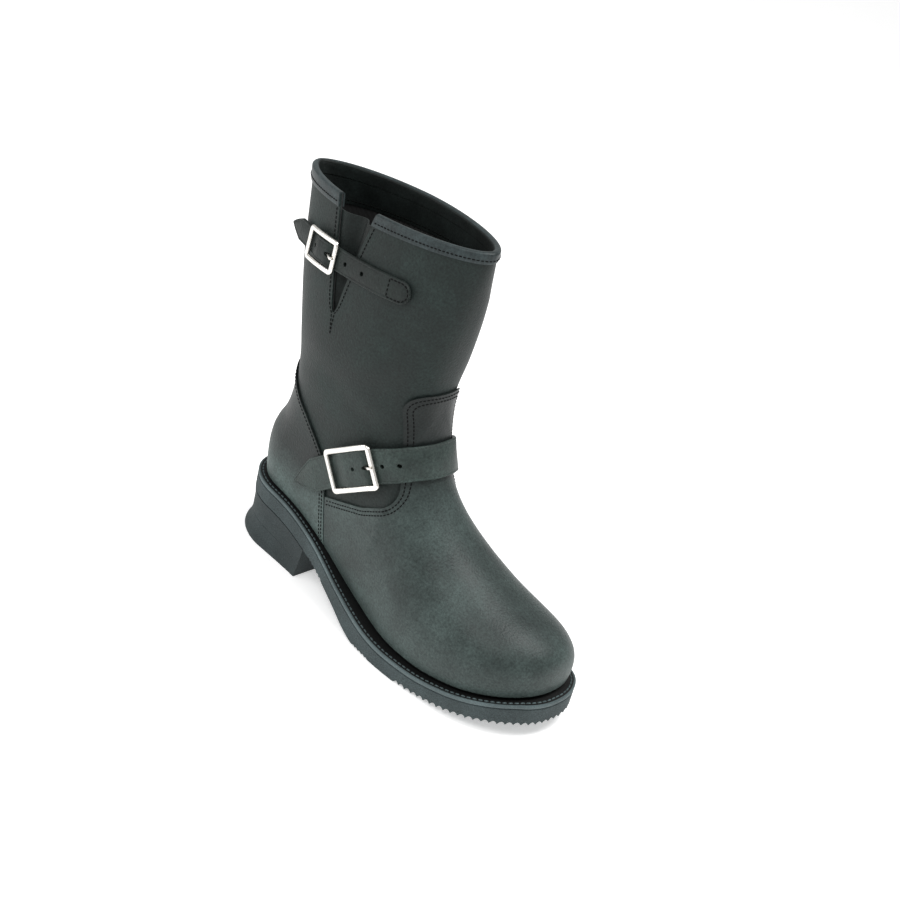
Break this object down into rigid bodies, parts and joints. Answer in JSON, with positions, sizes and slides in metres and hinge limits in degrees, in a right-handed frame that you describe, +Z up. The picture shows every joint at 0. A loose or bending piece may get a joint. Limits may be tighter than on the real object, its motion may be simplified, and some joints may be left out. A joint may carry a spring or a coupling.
{
  "type": "engineer boot",
  "caption": "Black oiled leather engineer boot with instep and shaft buckle straps, gusseted side slit and heeled rubber sole, right foot.",
  "frame": {"origin": "bottom centre of the boot's box, on the floor it stands on", "axes": "+X to the toe, +Y to the medial side of this right boot, +Z up; the side with both buckles faces -Y"},
  "size_m": [0.3189, 0.1124, 0.3088],
  "materials": {
    "sole_rubber": "matte moulded, fine speckle",
    "heel_rubber": "matte, ground side",
    "welt_rubber": "satin",
    "insole_board": "matte",
    "oiled_leather": "waxed pull-up, matte",
    "vamp_leather": "waxed pull-up, matte",
    "counter_leather": "waxed pull-up, matte",
    "gusset_leather": "soft, matte",
    "binding_leather": "smooth, satin",
    "strap_leather": "waxed, satin edges",
    "nickel": "bright nickel plate"
  },
  "bodies": {
    "root": {"outsole": "sole_rubber", "heel_block": "heel_rubber", "welt": "welt_rubber", "insole": "insole_board", "upper": "oiled_leather", "vamp": "vamp_leather", "counter": "counter_leather", "gusset": "gusset_leather", "collar_binding": "binding_leather", "instep_strap": "strap_leather", "instep_buckle": "nickel", "instep_prong": "nickel", "shaft_strap": "strap_leather", "shaft_buckle": "nickel", "shaft_prong": "nickel"}
  },
  "joints": []
}
